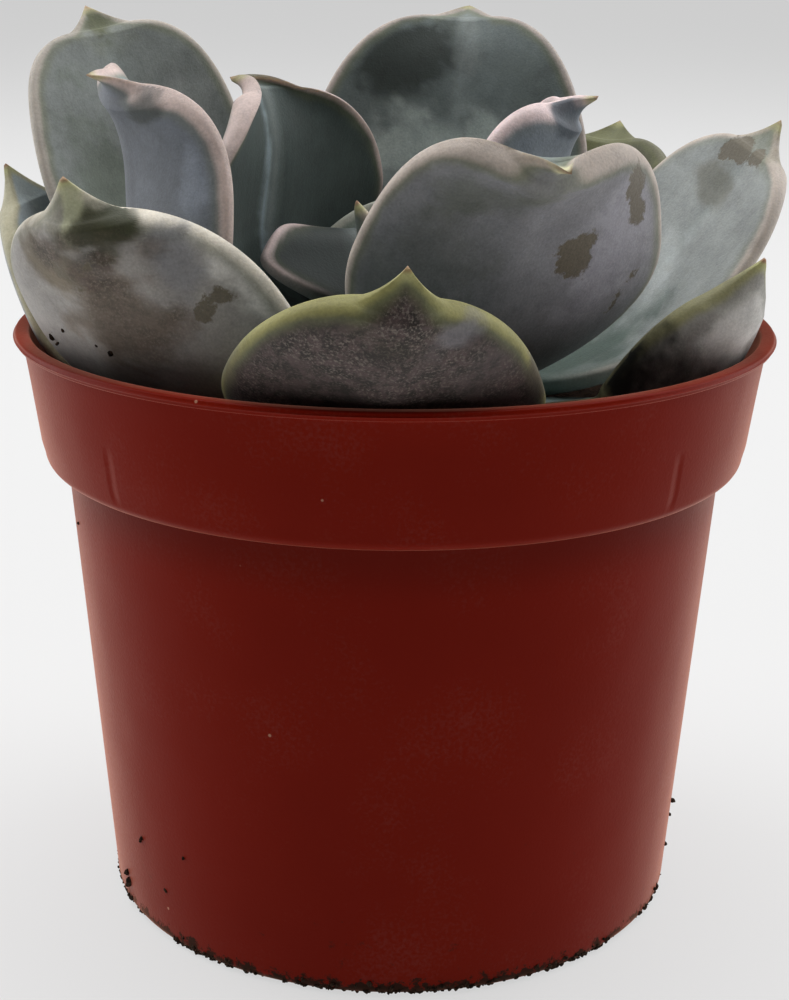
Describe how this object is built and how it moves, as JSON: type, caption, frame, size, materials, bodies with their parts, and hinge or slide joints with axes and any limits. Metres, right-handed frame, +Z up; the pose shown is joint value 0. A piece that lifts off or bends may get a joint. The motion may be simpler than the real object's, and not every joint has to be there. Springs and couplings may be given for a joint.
{
  "type": "potted echeveria",
  "caption": "Rosette succulent with broad, dusty grey-green, spoon-shaped leaves, growing in a tapered round plastic nursery pot with a deep band and flat lip.",
  "frame": {"origin": "middle of the pot's flat underside, on the surface that the pot stands on and on the pot's own axis", "axes": "+Z up along the pot's axis, +X to the right and -Y towards the viewer as in the picture"},
  "size_m": [0.1082, 0.1105, 0.124],
  "materials": {
    "pot_plastic": "satin terracotta-coloured moulded polypropylene, dulled by handling and with dirt at its foot",
    "potting_mix": "rough dark peat and bark crumbs",
    "stem_tissue": "matt pale brown-green plant tissue",
    "leaf_skin": "grey-green skin under a dusty waxy bloom, pink to lime along its edges"
  },
  "bodies": {
    "root": {"pot": "pot_plastic", "soil": "potting_mix", "stem_and_heart": "stem_tissue", "leaf_low_left": "leaf_skin", "leaf_low_front": "leaf_skin", "leaf_low_right": "leaf_skin", "leaf_back_right": "leaf_skin", "leaf_low_back": "leaf_skin", "leaf_front_left": "leaf_skin", "leaf_front_right": "leaf_skin", "leaf_right": "leaf_skin", "leaf_back": "leaf_skin", "leaf_back_left": "leaf_skin", "leaf_left": "leaf_skin", "leaf_inner_right": "leaf_skin", "leaf_inner_left": "leaf_skin", "leaf_inner_back": "leaf_skin", "leaf_heart_back": "leaf_skin", "leaf_heart_front": "leaf_skin", "leaf_heart_right": "leaf_skin"}
  },
  "joints": []
}
